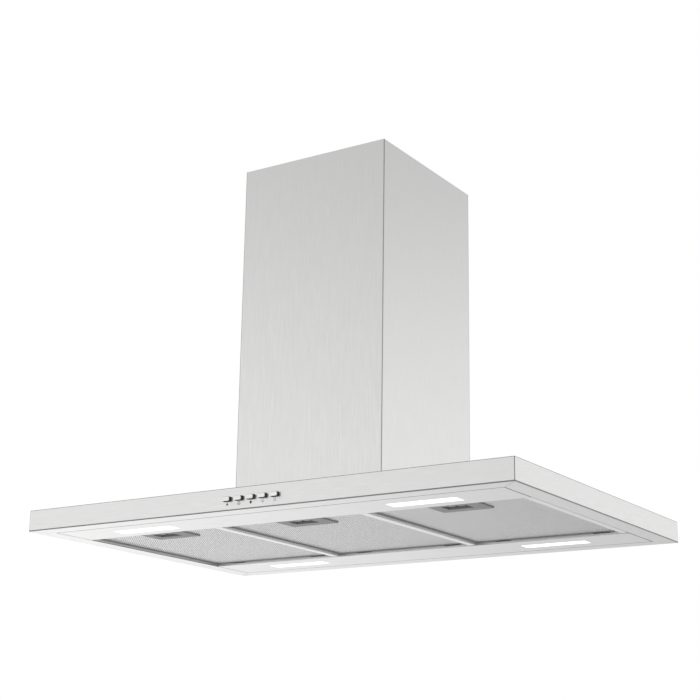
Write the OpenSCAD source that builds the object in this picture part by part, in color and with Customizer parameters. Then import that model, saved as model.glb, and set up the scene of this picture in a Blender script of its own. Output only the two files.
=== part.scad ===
// Island range hood: a slim steel canopy with three grease filters, four lamps and
// five push buttons, under a telescoping chimney that holds the blower and its duct collar.
// Origin: centre of the canopy's underside. X left to right, Y front to back, Z up.

/* [Canopy] */
// Width of the canopy, left to right
canopy_w = 900; // [720:10:1200]
// Depth of the canopy, front to back
canopy_d = 600; // [500:10:800]
// Height of the canopy's edge
canopy_h = 35; // [35:1:60]
// Thickness of the sheet steel
sheet = 1; // [0.8:0.1:1.5]
// Width of the flat rim round the underside
rim_w = 32; // [28:1:50]
// Gap between edge panels at each mitred corner
corner_gap = 0.5; // [0.3:0.1:1]
// Width of the flange that carries the top plate
top_flange = 12; // [10:1:20]
// Height of the lip along the front and rear rims
rim_lip_h = 10; // [8:0.5:12]
// Height of the lip along the end rims, beside the filters
end_lip_h = 16; // [13:0.5:20]
// Length of each arm of the corner braces
brace_arm = 24; // [15:1:28]
// Thickness of the corner braces
brace_t = 1.5; // [1:0.1:3]

/* [Light strips] */
// Depth of the front lamp strip
front_strip_d = 85; // [75:1:100]
// Depth of the rear lamp strip
rear_strip_d = 96; // [85:1:110]
// Height of the strip's wall beside the filters
strip_wall_h = 18; // [16:0.5:22]
// How far the strip hooks over the rim's lip
hook_reach = 6; // [4:0.5:10]
// Gap between a strip and the rim
strip_gap = 0.6; // [0.4:0.1:1]

/* [Lamps] */
// Distance of each lamp from the middle, left or right
lamp_x = 263; // [220:1:300]
// Distance from the strip's outer edge to the lamp's middle
lamp_v = 47; // [38:1:50]
// Length of the lamp's lit face
lamp_l = 118; // [80:1:130]
// Width of the lamp's lit face
lamp_w = 27; // [20:1:30]
// How far the lit face sits above the strip's face
lens_recess = 0.5; // [0.3:0.1:0.7]
// Thickness of the lens flange
lens_flange_t = 1.5; // [1:0.1:2]
// Width of the lens flange past the hole
lens_flange = 3; // [2:0.5:4]
// Height of the lamp housing
lamp_h = 20; // [12:1:22]
// Wall of the lamp housing
lamp_wall = 1.2; // [0.8:0.1:2]
// Thickness of the circuit boards
board_t = 1.6; // [1:0.1:2]

/* [Filters] */
// Number of filters across the opening
filter_count = 3; // [3:1:3]
// Gap round each filter
filter_gap = 0.5; // [0.4:0.1:1]
// Height of the filter's underside above the rim's face
filter_recess = 4.5; // [3.5:0.1:5]
// Thickness of the filter
filter_t = 8; // [8:0.5:9]
// Wall of the filter's frame
frame_wall = 1.2; // [1:0.1:1.6]
// Thickness of the frame's turned-in edges
frame_lip_t = 0.8; // [0.6:0.1:1]
// Width of the lower turned-in edge
frame_lip_low = 2.5; // [2:0.5:4]
// Width of the upper turned-in edge
frame_lip_high = 6; // [4:0.5:10]
// Width of the deep lip along each filter's right side
deep_lip_w = 12; // [8:0.5:14]
// Height of the filter's swing axis above the rim's face
swing_z = 5.5; // [5.4:0.1:5.6]
// Distance from the filter's frame to its swing axis
swing_gap = 3; // [3:0.1:4]
// Thickness of the rear tongues
tongue_t = 1; // [0.8:0.1:1]
// Width of each rear tongue
tongue_w = 30; // [20:1:40]
// Distance of each rear tongue from the filter's middle
tongue_x = 90; // [60:1:100]
// How far the rear tongues reach past the strip's wall
tongue_reach = 11; // [8:0.5:12]
// Height of the slots for the rear tongues
tongue_slot_h = 12; // [10:0.5:12.5]

/* [Latches] */
// Width of the latch plate
latch_plate_w = 86; // [70:1:100]
// Length of the latch plate, front to back
latch_plate_l = 64; // [60:1:80]
// Thickness of the latch plate
latch_plate_t = 2; // [1.5:0.1:2.2]
// Width of the finger pocket
pocket_w = 43; // [36:1:46]
// Length of the finger pocket
pocket_l = 26; // [24:1:30]
// Distance of the finger pocket from the plate's middle, to the right
pocket_x = -2.5; // [-4:0.5:4]
// Distance from the plate's front edge to the pocket's middle
pocket_y = 32; // [31:0.5:36]
// Wall round the finger pocket
pocket_wall = 1.2; // [0.8:0.1:1.5]
// Depth of the finger pocket above the plate
pocket_up = 2; // [1.5:0.1:2.4]
// Thickness of the slider
slider_t = 1.8; // [1.4:0.1:2]
// Running clearance round the slider
slider_gap = 0.3; // [0.2:0.1:0.6]
// Travel of the latch
latch_travel = 5; // [4:0.5:5]
// Width of the latch's nose
nose_w = 24; // [16:1:30]
// How far the nose reaches past the filter's front edge
nose_reach = 4; // [3:0.5:5]
// Clearance round the nose in its windows
nose_gap = 0.5; // [0.3:0.1:1]

/* [Buttons] */
// Number of push buttons
button_count = 5; // [5:1:5]
// Width of a button
button_w = 14; // [10:0.5:16]
// Height of a button
button_h = 7; // [6:0.5:9]
// Corner radius of a button
button_r = 1.5; // [1:0.1:2.5]
// How far a button stands out of the front
button_out = 5.8; // [4:0.1:7]
// Distance between buttons
button_pitch = 22.25; // [20:0.25:28]
// Middle of the row, right of the canopy's middle
button_x = 6; // [-200:1:200]
// Height of the row above the rim's face
button_z = 18; // [15:0.5:20]
// Clearance round each button
button_gap = 0.3; // [0.2:0.05:0.5]
// Travel of a button
button_travel = 3; // [2:0.1:3]
// Width of the collar behind the panel that keeps a button in
button_collar = 2; // [1.5:0.1:2]
// Depth of the switch housing
switch_d = 14; // [13:0.5:18]

/* [Chimney] */
// Width of the lower chimney
chimney_w = 282; // [280:1:340]
// Depth of the lower chimney
chimney_d = 290; // [288:1:360]
// Height of the chimney's top above the canopy's underside
chimney_top = 632.5; // [600:0.5:760]
// Shadow gap between the chimney's front and its side walls
chimney_seam = 0.6; // [0.4:0.1:1]
// Width of the side wall's turned-in front edge
chimney_fold = 12; // [10:1:14]
// Width of the chimney's foot flange
chimney_foot = 6; // [4:0.5:6]
// Clearance between the lower and upper chimney walls
chimney_clear = 3; // [2.5:0.1:3.5]
// Height of the upper chimney
upper_h = 500; // [400:10:520]
// How far the upper chimney extends
extension = 300; // [200:10:300]

/* [Support frame] */
// Gap between the upper chimney and the lower frame
frame_clear = 3; // [2.5:0.1:4]
// Width of the lower frame's angle legs
leg_w = 20; // [18:1:22]
// Thickness of the angle legs
leg_t = 2; // [1.5:0.1:2.5]
// Top of the lower frame above the canopy's underside
lower_frame_top = 480; // [470:5:500]
// Height of the frame's ring bars
ring_h = 20; // [15:1:25]
// Gap between the nested legs
leg_gap = 0.4; // [0.3:0.1:0.6]
// Bottom of the upper frame's legs
upper_leg_z = 120; // [100:5:130]
// Thickness of the ceiling plate
ceiling_t = 3; // [2:0.5:5]
// Spacing of the ceiling bolts
ceiling_bolts = 200; // [190:5:210]
// Radius of the ceiling bolt holes
ceiling_hole_r = 4.25; // [3:0.25:5]
// Radius of the ceiling plate's duct opening
ceiling_duct_r = 85; // [80:1:90]
// Radius of the frame bolts
bolt_r = 3; // [2.5:0.1:3.5]
// Radial clearance of the frame bolts
bolt_gap = 0.2; // [0.1:0.05:0.3]
// Height of the bolts that join the two frames
bolt_z = 440; // [430:5:450]

/* [Blower] */
// Radius of the scroll housing
scroll_r = 100; // [95:1:104]
// Half of the scroll's width, front to back
scroll_half = 80; // [75:1:85]
// Height of the blower's axis
blower_z = 150; // [146:1:156]
// Height from the blower's axis to its outlet
outlet_up = 130; // [124:1:136]
// Width of the outlet duct
outlet_w = 156; // [153:1:160]
// Width of the outlet flange
outlet_flange = 10; // [8:1:12]
// Radius of the air inlets
inlet_r = 62; // [58:1:66]
// Height of the inlet rings
inlet_ring_h = 3; // [2:0.5:5]
// Outer radius of the impeller
impeller_r = 72; // [68:1:78]
// Half of the impeller's length
impeller_half = 70; // [60:1:72]
// Number of impeller blades
blade_count = 30; // [20:1:40]
// Radial depth of a blade
blade_d = 11; // [8:0.5:12]
// Thickness of a blade
blade_t = 1.2; // [0.8:0.1:1.5]
// Radius of the motor's shaft
shaft_r = 4; // [3:0.5:5]
// Running clearance of the shaft in the motor
shaft_gap = 0.05; // [0.02:0.01:0.09]
// Radius of the impeller's hub
hub_r = 14; // [10:1:18]
// Radius of the motor
motor_r = 42; // [36:1:46]
// Length of the motor
motor_l = 68; // [60:1:80]
// Front face of the motor, behind the impeller's middle
motor_y = 24; // [20:1:30]

/* [Duct collar] */
// Outer radius of the duct collar
collar_r = 75; // [74:0.5:76]
// Wall of the duct collar
collar_wall = 1.5; // [1:0.1:2]
// Height of the duct collar
collar_h = 50; // [40:1:60]
// Thickness of the mounting plate
mount_plate_t = 2; // [1.5:0.1:3]
// Height of the flap pin above the mounting plate
flap_pin_up = 18; // [15:1:22]
// Radius of the flap pin
flap_pin_r = 2; // [1.5:0.1:2.5]
// Running clearance of the flaps on their pin
flap_gap = 0.08; // [0.05:0.01:0.1]
// Thickness of a flap
flap_t = 1.5; // [1:0.1:2]
// Gap between the flaps and the collar
flap_edge = 1.5; // [1:0.1:3]

/* [Hidden] */
$fn = 64;
eps = 0.01;
press_gap = 0.02;

// Places in the canopy
half_w = canopy_w / 2;
half_d = canopy_d / 2;
open_x = half_w - rim_w;
open_y = half_d - rim_w;
top_z = canopy_h - sheet;
mitre = corner_gap / 2 * sqrt(2);
bay_front = -open_y + front_strip_d;
bay_rear = open_y - rear_strip_d;
lamp_y = open_y - lamp_v;

// Places in each filter, measured from the filter's own middle line
filter_pitch = 2 * open_x / filter_count;
filter_w = filter_pitch - 2 * filter_gap;
filter_y0 = bay_front + filter_gap;
swing_y = bay_rear + sheet / 2;
filter_y1 = swing_y - swing_gap;
mesh_z = filter_recess + frame_lip_t;
mesh_top = filter_recess + filter_t - frame_lip_t;
mesh_gap = 0.3;
deep_lip_end = 6;
slot_under = 1.9;

// Places in each latch
plate_y0 = filter_y0 + frame_wall + frame_lip_low + mesh_gap;
plate_z = mesh_z - latch_plate_t;
pocket_mid = plate_y0 + pocket_y;
pocket_top = mesh_z + pocket_up;
slider_z = pocket_top + slider_gap;
slider_w = pocket_w + 2 * pocket_wall + 4;
slider_y0 = pocket_mid - pocket_l / 2 - pocket_wall - latch_travel - 1;
slider_y1 = pocket_mid + pocket_l / 2 + pocket_wall + 1;
guide_t = 1.2;
guide_top = slider_z + slider_t;
tab_y = plate_y0 + latch_plate_l - guide_t;
nose_t = 1.2;
nose_z = slider_z + slider_t - nose_t;
rib_w = 13;
rib_l = 9;
rib_x = 8.5;
rib_down = 2.4;
spring_t = 0.5;
spring_h = 1.6;
spring_w = 28;
spring_folds = 6;
cavity_side = 8;
cavity_w = latch_plate_w - 2 * (frame_wall + cavity_side);
cavity_l = tab_y + guide_t + 2 - filter_y0;
cavity_top = guide_top + 0.8;

// Places in the chimney and its frames
cw = chimney_w / 2;
cd = chimney_d / 2;
uw = cw - sheet - chimney_clear;
ud = cd - 2 * sheet - chimney_seam - 1;
lw = uw - sheet - frame_clear;
ld = ud - sheet - frame_clear;
nw = lw - leg_t - leg_gap;
nd = ld - leg_t - leg_gap;
foot_w = leg_w + 4;
foot_t = 2;
seam_inset = 20;
foot_bolt_x = lw - foot_w / 2;
foot_bolt_y = ld - foot_w / 2;
leg_bolt_y = ld - leg_w / 2 - 1;
head_t = 2;
nut_t = 3.3;
ceiling_z = chimney_top - ceiling_t;
intake_x = lw - foot_w - 6;
intake_y = ld - foot_w - 6;

// Places in the blower
outlet_z = blower_z + outlet_up;
blower_x = scroll_r - outlet_w / 2;
plate_half_y = scroll_half + outlet_flange;
plate_top = outlet_z + mount_plate_t;
rail_h = 18;
collar_in = collar_r - collar_wall;
pin_z = plate_top + flap_pin_up;
flap_r = collar_in - flap_edge;
knuckle_r = 4;
knuckle_l = 12;
knuckle_near = 16;
knuckle_far = 44;
ring_t = 2;
hub_half = 16;
bracket_arm = 12;
bracket_rim = 8;
box_w = 40;
box_d = 36;
box_h = 40;
box_x = lw - box_w / 2 - 4;
box_y = plate_half_y - box_d / 2 - 2;
gland_r = 8;
gland_bore_r = 4.2;
gland_h = 18;

// A bar along X whose cross-section is drawn in Y and Z
module bar_x(length) {
    translate([-length / 2, 0, 0]) rotate([90, 0, 90]) linear_extrude(length) children();
}

// A box given by its two corners
module span(a, b) {
    translate(a) cube(b - a);
}

// A rectangle with round corners, centred
module round_rect(w, h, r) {
    square([w - 2 * r, h], center = true);
    square([w, h - 2 * r], center = true);
    for (x = [-1, 1], y = [-1, 1])
        translate([x * (w / 2 - r), y * (h / 2 - r)]) circle(r);
}

// One folded edge panel of the canopy, drawn as the front one
module edge_panel(length, depth, lip) {
    reach = rim_w + 1;
    intersection() {
        translate([0, -depth / 2, 0]) bar_x(length) polygon([
            [0, 0], [rim_w, 0], [rim_w, lip], [rim_w - sheet, lip], [rim_w - sheet, sheet],
            [sheet, sheet], [sheet, top_z - sheet], [top_flange, top_z - sheet],
            [top_flange, top_z], [sheet, top_z], [sheet, canopy_h], [0, canopy_h]
        ]);
        translate([0, -depth / 2, 0]) linear_extrude(canopy_h) polygon([
            [-length / 2 + mitre - 1, -1], [length / 2 - mitre + 1, -1],
            [length / 2 - mitre - reach, reach], [-length / 2 + mitre + reach, reach]
        ]);
    }
}

// Middle of a button, counted from 0
function button_mid(i) = button_x + (i - (button_count - 1) / 2) * button_pitch;

// Middle of a filter, counted from 0
function filter_mid(i) = (i - (filter_count - 1) / 2) * filter_pitch;

module front_panel() {
    color("silver") difference() {
        edge_panel(canopy_w, canopy_d, rim_lip_h);
        for (i = [0:button_count - 1])
            translate([button_mid(i), -half_d + sheet + 1, button_z]) rotate([90, 0, 0])
                linear_extrude(sheet + 2)
                    round_rect(button_w + 2 * button_gap, button_h + 2 * button_gap, button_r);
    }
}

module rear_panel() {
    color("silver") rotate([0, 0, 180]) edge_panel(canopy_w, canopy_d, rim_lip_h);
}

module right_end_panel() {
    color("silver") rotate([0, 0, 90]) edge_panel(canopy_d, canopy_w, end_lip_h);
}

module left_end_panel() {
    color("silver") rotate([0, 0, -90]) edge_panel(canopy_d, canopy_w, end_lip_h);
}

// The flat top with the blower's intake and the holes for the frame's feet
module canopy_top() {
    edge = sheet + 0.3;
    color("silver") difference() {
        span([-half_w + edge, -half_d + edge, top_z], [half_w - edge, half_d - edge, canopy_h]);
        span([-intake_x, -intake_y, top_z - 1], [intake_x, intake_y, canopy_h + 1]);
        for (x = [-1, 1], y = [-1, 1])
            translate([x * foot_bolt_x, y * foot_bolt_y, top_z - 1])
                cylinder(r = bolt_r + bolt_gap, h = sheet + 2);
    }
}

module corner_braces() {
    color("gray") for (x = [-1, 1], y = [-1, 1]) mirror([x < 0 ? 1 : 0, 0, 0])
        mirror([0, y < 0 ? 1 : 0, 0]) {
            cx = half_w - sheet;
            cy = half_d - sheet;
            span([cx - brace_arm, cy - brace_t, sheet], [cx, cy, top_z - sheet]);
            span([cx - brace_t, cy - brace_arm, sheet], [cx, cy, top_z - sheet]);
        }
}

// A lamp strip drawn as the front one: a tray that hooks over the rim's lip
module light_strip(depth) {
    difference() {
        translate([0, -open_y, 0]) bar_x(2 * (open_x - strip_gap)) polygon([
            [strip_gap, 0], [depth, 0], [depth, strip_wall_h], [depth - sheet, strip_wall_h],
            [depth - sheet, sheet], [strip_gap + sheet, sheet],
            [strip_gap + sheet, rim_lip_h + sheet], [-hook_reach, rim_lip_h + sheet],
            [-hook_reach, rim_lip_h], [strip_gap, rim_lip_h]
        ]);
        for (x = [-1, 1])
            translate([x * lamp_x, -open_y + lamp_v, 0]) cube([lamp_l, lamp_w, 3 * sheet], center = true);
    }
}

module front_light_strip() {
    color("silver") difference() {
        light_strip(front_strip_d);
        for (i = [0:filter_count - 1]) {
            half = nose_w / 2 + nose_gap;
            span([filter_mid(i) - half, bay_front - 2 * sheet, nose_z - nose_gap],
                [filter_mid(i) + half, bay_front + 1, nose_z + nose_t + nose_gap]);
        }
    }
}

module rear_light_strip() {
    half = tongue_w / 2 + filter_gap;
    low = swing_z - slot_under;
    color("silver") difference() {
        rotate([0, 0, 180]) light_strip(rear_strip_d);
        for (i = [0:filter_count - 1], s = [-1, 1]) {
            x = filter_mid(i) + s * tongue_x;
            span([x - half, bay_rear - 1, low], [x + half, bay_rear + 2 * sheet, low + tongue_slot_h]);
        }
    }
}

// A filter's folded aluminium frame, with a deep lip on its right and two rear tongues
module filter_frame(i) {
    half = filter_w / 2;
    low = frame_wall + frame_lip_low;
    high = frame_wall + frame_lip_high;
    z1 = filter_recess + filter_t;
    color("lightgray") translate([filter_mid(i), 0, 0]) {
        difference() {
            union() {
                span([-half, filter_y0, filter_recess], [half, filter_y1, z1]);
                span([half - deep_lip_w, filter_y0, 0],
                    [half, filter_y1 - deep_lip_end, filter_recess + eps]);
                for (s = [-1, 1])
                    span([s * tongue_x - tongue_w / 2, filter_y1 - frame_wall, swing_z - tongue_t / 2],
                        [s * tongue_x + tongue_w / 2, swing_y + tongue_reach, swing_z + tongue_t / 2]);
            }
            span([-half + frame_wall, filter_y0 + frame_wall, mesh_z],
                [half - frame_wall, filter_y1 - frame_wall, mesh_top]);
            span([-half + low, filter_y0 + low, filter_recess - 1],
                [half - deep_lip_w, filter_y1 - low, mesh_z + eps]);
            span([-half + high, filter_y0 + high, mesh_top - eps],
                [half - high, filter_y1 - high, z1 + 1]);
            span([-nose_w / 2 - nose_gap, filter_y0 - 1, nose_z - nose_gap],
                [nose_w / 2 + nose_gap, filter_y0 + frame_wall + 1, nose_z + nose_t + nose_gap]);
        }
    }
}

// A filter's mesh pack, cut away round the latch
module filter_mesh(i) {
    half = filter_w / 2 - frame_wall - mesh_gap;
    inset = frame_wall + mesh_gap;
    color("darkgray") translate([filter_mid(i), 0, 0]) difference() {
        span([-half, filter_y0 + inset, mesh_z], [half, filter_y1 - inset, mesh_top]);
        span([-cavity_w / 2, filter_y0, mesh_z - 1], [cavity_w / 2, filter_y0 + cavity_l, cavity_top]);
    }
}

// The plate that carries a latch: a finger pocket, two guides and a spring stop
module latch_plate(i) {
    side = slider_w / 2 + slider_gap;
    px = pocket_w / 2;
    py = pocket_l / 2;
    color("dimgray") translate([filter_mid(i), 0, 0]) difference() {
        union() {
            span([-latch_plate_w / 2, plate_y0, plate_z],
                [latch_plate_w / 2, plate_y0 + latch_plate_l, mesh_z]);
            span([pocket_x - px - pocket_wall, pocket_mid - py - pocket_wall, mesh_z - eps],
                [pocket_x + px + pocket_wall, pocket_mid + py + pocket_wall, pocket_top]);
            for (s = [-1, 1])
                translate([pocket_x + s * (side + guide_t / 2), (slider_y0 + tab_y + guide_t) / 2,
                        (mesh_z + guide_top) / 2])
                    cube([guide_t, tab_y + guide_t - slider_y0, guide_top - mesh_z + 2 * eps], center = true);
            span([pocket_x - side, tab_y, mesh_z - eps], [pocket_x + side, tab_y + guide_t, guide_top]);
        }
        span([pocket_x - px, pocket_mid - py, plate_z - 1], [pocket_x + px, pocket_mid + py, pocket_top + 1]);
    }
}

// The sliding bolt of a latch, with two finger ribs and a nose
module latch_slider(i) {
    color("gray") translate([filter_mid(i), 0, 0]) {
        span([pocket_x - slider_w / 2, slider_y0, slider_z],
            [pocket_x + slider_w / 2, slider_y1, slider_z + slider_t]);
        span([-nose_w / 2, filter_y0 - nose_reach, nose_z],
            [nose_w / 2, slider_y0 + eps, nose_z + nose_t]);
        for (s = [-1, 1])
            translate([pocket_x + s * rib_x, pocket_mid - latch_travel / 2, slider_z - rib_down])
                linear_extrude(rib_down + eps) round_rect(rib_w, rib_l, rib_l / 2 - eps);
    }
}

// A wave spring of flat strip between a slider and its stop
module latch_spring(i) {
    low = slider_y1;
    high = tab_y - spring_t;
    x = [for (k = [0:spring_folds]) -spring_w / 2 + k * spring_w / spring_folds];
    y = [for (k = [0:spring_folds]) k % 2 == 0 ? high : low];
    path = [for (k = [0:spring_folds]) [x[k], y[k]]];
    back = [for (k = [spring_folds:-1:0]) [x[k], y[k] + spring_t]];
    color("silver") translate([filter_mid(i) + pocket_x, 0, slider_z])
        linear_extrude(spring_h) polygon(concat(path, back));
}

// The lit diffuser of a lamp
module lamp_lens(sx, sy) {
    gap = 0.4;
    color("white") translate([sx * lamp_x, sy * lamp_y, 0]) {
        span([-lamp_l / 2 + gap, -lamp_w / 2 + gap, lens_recess],
            [lamp_l / 2 - gap, lamp_w / 2 - gap, sheet + eps]);
        span([-lamp_l / 2 - lens_flange, -lamp_w / 2 - lens_flange, sheet],
            [lamp_l / 2 + lens_flange, lamp_w / 2 + lens_flange, sheet + lens_flange_t]);
    }
}

// Half of a lamp housing's length and width
function housing_half() =
    [lamp_l / 2 + lens_flange + 0.5 + lamp_wall, lamp_w / 2 + lens_flange + 0.5 + lamp_wall];

module lamp_housings() {
    h = housing_half();
    w = lamp_wall;
    color("dimgray") for (sx = [-1, 1], sy = [-1, 1])
        translate([sx * lamp_x, sy * lamp_y, sheet]) difference() {
            span([-h.x, -h.y, 0], [h.x, h.y, lamp_h]);
            span([-h.x + w, -h.y + w, -1], [h.x - w, h.y - w, lamp_h - w]);
        }
}

module led_boards() {
    color("white") for (sx = [-1, 1], sy = [-1, 1])
        translate([sx * lamp_x, sy * lamp_y, sheet + lamp_h - lamp_wall - board_t])
            span([-lamp_l / 2, -lamp_w / 2, 0], [lamp_l / 2, lamp_w / 2, board_t]);
}

// The electronics' cover, on the rear strip between the lamps
module control_box() {
    half = 75;
    y0 = bay_rear + tongue_reach + 9;
    y1 = open_y - strip_gap - sheet - 4;
    wall = 1.5;
    h = 24;
    color("dimgray") difference() {
        span([-half, y0, sheet], [half, y1, sheet + h]);
        span([-half + wall, y0 + wall, sheet - 1], [half - wall, y1 - wall, sheet + h - wall]);
    }
}

// Inner face of the front panel, the size of one button cell, and the depth of a switch
panel_y = -half_d + sheet;
cell_w = button_w + 2 * button_collar + 2 * button_gap;
cell_h = button_h + 2 * button_collar + 2 * button_gap;
can_d = 3.5;

module switch_housing() {
    half_l = (button_count - 1) / 2 * button_pitch + cell_w / 2 + 6;
    half_h = cell_h / 2 + 2;
    color("black") difference() {
        span([button_x - half_l, panel_y, button_z - half_h],
            [button_x + half_l, panel_y + switch_d, button_z + half_h]);
        for (i = [0:button_count - 1])
            translate([button_mid(i), panel_y + switch_d / 2, button_z])
                cube([cell_w, switch_d + 2, cell_h], center = true);
    }
}

// The circuit board behind the buttons, with one small switch for each
module switch_board() {
    half_l = (button_count - 1) / 2 * button_pitch + cell_w / 2 + 4;
    y = panel_y + switch_d;
    can = 6;
    color("green") {
        span([button_x - half_l, y, button_z - cell_h / 2 - 1],
            [button_x + half_l, y + board_t, button_z + cell_h / 2 + 1]);
        for (i = [0:button_count - 1])
            translate([button_mid(i), y - can_d / 2 + eps / 2, button_z])
                cube([can, can_d + eps, can], center = true);
    }
}

module button(i) {
    collar_t = 1.5;
    rear = panel_y + switch_d - can_d - button_travel - 0.5;
    color("silver") translate([button_mid(i), 0, button_z]) rotate([90, 0, 0]) {
        translate([0, 0, -rear])
            linear_extrude(rear + half_d + button_out) round_rect(button_w, button_h, button_r);
        translate([0, 0, -panel_y - button_gap - collar_t]) linear_extrude(collar_t)
            square([button_w + 2 * button_collar, button_h + 2 * button_collar], center = true);
    }
}

// The removable front sheet of the lower chimney
module chimney_front() {
    back = -cd + sheet;
    color("silver") {
        span([-cw, -cd, canopy_h], [cw, back, chimney_top]);
        for (s = [-1, 1])
            translate([s * (cw - sheet - chimney_fold / 2 - 0.5), back + chimney_seam / 2 - eps / 2,
                    (canopy_h + chimney_top) / 2])
                cube([chimney_fold - 1, chimney_seam + eps, chimney_top - canopy_h - 2], center = true);
        span([-cw + seam_inset, back - eps, canopy_h],
            [cw - seam_inset, back + chimney_foot, canopy_h + sheet]);
    }
}

// The folded rear and side walls of the lower chimney
module chimney_wrap() {
    y0 = -cd + sheet + chimney_seam;
    iw = cw - sheet;
    id = cd - sheet;
    color("silver") {
        span([-cw, id, canopy_h], [cw, cd, chimney_top]);
        for (s = [-1, 1]) mirror([s < 0 ? 1 : 0, 0, 0]) {
            span([iw, y0, canopy_h], [cw, cd, chimney_top]);
            span([iw - chimney_fold, y0, canopy_h], [cw, y0 + sheet, chimney_top]);
            span([iw - chimney_foot, y0, canopy_h], [cw, cd, canopy_h + sheet]);
        }
        span([-cw, id - chimney_foot, canopy_h], [cw, cd, canopy_h + sheet]);
    }
}

// A rectangular tube standing on z0
module tube(hw, hd, wall, z0, z1) {
    difference() {
        span([-hw, -hd, z0], [hw, hd, z1]);
        span([-hw + wall, -hd + wall, z0 - 1], [hw - wall, hd - wall, z1 + 1]);
    }
}

module upper_chimney() {
    color("silver") tube(uw, ud, sheet, chimney_top - upper_h, chimney_top);
}

// Four angle legs whose outer corners stand at hw and hd
module angle_legs(hw, hd, width, z0, z1) {
    for (x = [-1, 1], y = [-1, 1]) mirror([x < 0 ? 1 : 0, 0, 0]) mirror([0, y < 0 ? 1 : 0, 0]) {
        span([hw - leg_t, hd - width, z0], [hw, hd, z1]);
        span([hw - width, hd - leg_t, z0], [hw, hd, z1]);
    }
}

module lower_frame() {
    rail_y = nd - leg_w - 2;
    color("gray") difference() {
        union() {
            angle_legs(lw, ld, leg_w, canopy_h, lower_frame_top);
            tube(lw, ld, leg_t, lower_frame_top - ring_h, lower_frame_top);
            for (x = [-1, 1], y = [-1, 1]) mirror([x < 0 ? 1 : 0, 0, 0]) mirror([0, y < 0 ? 1 : 0, 0])
                span([lw - foot_w, ld - foot_w, canopy_h], [lw, ld, canopy_h + foot_t]);
            for (x = [-1, 1]) mirror([x < 0 ? 1 : 0, 0, 0]) {
                span([lw - leg_t, -ld, outlet_z - rail_h], [lw, ld, outlet_z]);
                span([lw - leg_w, -rail_y, outlet_z - leg_t], [lw, rail_y, outlet_z]);
            }
        }
        for (x = [-1, 1], y = [-1, 1]) {
            translate([x * foot_bolt_x, y * foot_bolt_y, canopy_h - 1])
                cylinder(r = bolt_r + bolt_gap, h = foot_t + 2);
            translate([x * (lw - leg_t / 2), y * leg_bolt_y, bolt_z]) rotate([0, 90, 0])
                cylinder(r = bolt_r + bolt_gap, h = leg_t + 2, center = true);
        }
    }
}

// The sliding frame: slotted legs nested in the lower frame's
module upper_frame() {
    slot = bolt_r + bolt_gap;
    color("gray") difference() {
        union() {
            angle_legs(nw, nd, leg_w - leg_t, upper_leg_z, ceiling_z);
            tube(nw, nd, leg_t, ceiling_z - ring_h, ceiling_z);
        }
        for (x = [-1, 1], y = [-1, 1])
            translate([x * (nw - leg_t / 2), y * leg_bolt_y, bolt_z - extension / 2])
                cube([leg_t + 2, 2 * slot, extension + 2 * slot], center = true);
    }
}

module ceiling_plate() {
    edge = 0.2;
    color("gray") difference() {
        span([-uw + sheet + edge, -ud + sheet + edge, ceiling_z],
            [uw - sheet - edge, ud - sheet - edge, chimney_top]);
        translate([0, 0, ceiling_z - 1]) cylinder(r = ceiling_duct_r, h = ceiling_t + 2);
        for (x = [-1, 1], y = [-1, 1])
            translate([x * ceiling_bolts / 2, y * ceiling_bolts / 2, ceiling_z - 1])
                cylinder(r = ceiling_hole_r, h = ceiling_t + 2);
    }
}

// A bolt with its nut, head up, seated at z = 0 and gripping the given thickness
module bolt_and_nut(grip) {
    cylinder(r = 1.7 * bolt_r, h = head_t, $fn = 6);
    translate([0, 0, -grip - nut_t - 1]) cylinder(r = bolt_r, h = grip + nut_t + 1 + eps);
    translate([0, 0, -grip - nut_t]) difference() {
        cylinder(r = 1.9 * bolt_r, h = nut_t, $fn = 6);
        translate([0, 0, -1]) cylinder(r = bolt_r + 0.03, h = nut_t + 2);
    }
}

module frame_bolts() {
    color("silver") for (x = [-1, 1], y = [-1, 1]) {
        translate([x * foot_bolt_x, y * foot_bolt_y, canopy_h + foot_t]) bolt_and_nut(foot_t + sheet);
        translate([x * lw, y * leg_bolt_y, bolt_z]) rotate([0, x * 90, 0])
            bolt_and_nut(2 * leg_t + leg_gap + 0.3);
    }
}

// Outline of the scroll seen from the front, shrunk by an inset
module scroll(inset, top) {
    circle(scroll_r - inset);
    translate([-scroll_r + inset, 0]) square([outlet_w - 2 * inset, top]);
}

// A slice of the blower between two planes across its axis
module blower_slice(y0, y1) {
    translate([blower_x, y1, blower_z]) rotate([90, 0, 0]) linear_extrude(y1 - y0) children();
}

module blower_wrap() {
    inner = scroll_half - sheet;
    lip = scroll_half + outlet_flange - 2;
    side = outlet_w / 2;
    color("lightsteelblue") {
        blower_slice(-inner, inner) difference() {
            scroll(0, outlet_up);
            scroll(sheet, outlet_up + 1);
        }
        difference() {
            span([-side - outlet_flange, -lip, outlet_z - sheet], [side + outlet_flange, lip, outlet_z]);
            span([-side + sheet, -inner, outlet_z - 2 * sheet], [side - sheet, inner, outlet_z + 1]);
        }
    }
}

// A side of the blower with its round inlet, on the front (-1) or rear (1)
module blower_side(s) {
    inner = scroll_half - sheet;
    a = s < 0 ? -scroll_half : inner;
    b = s < 0 ? -inner : scroll_half;
    c = s < 0 ? -scroll_half - inlet_ring_h : inner;
    d = s < 0 ? -inner : scroll_half + inlet_ring_h;
    color("lightsteelblue") {
        blower_slice(a, b) difference() {
            scroll(0, outlet_up - sheet);
            circle(inlet_r + sheet / 2);
        }
        blower_slice(c, d) difference() {
            circle(inlet_r + sheet);
            circle(inlet_r);
        }
    }
}

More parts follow.
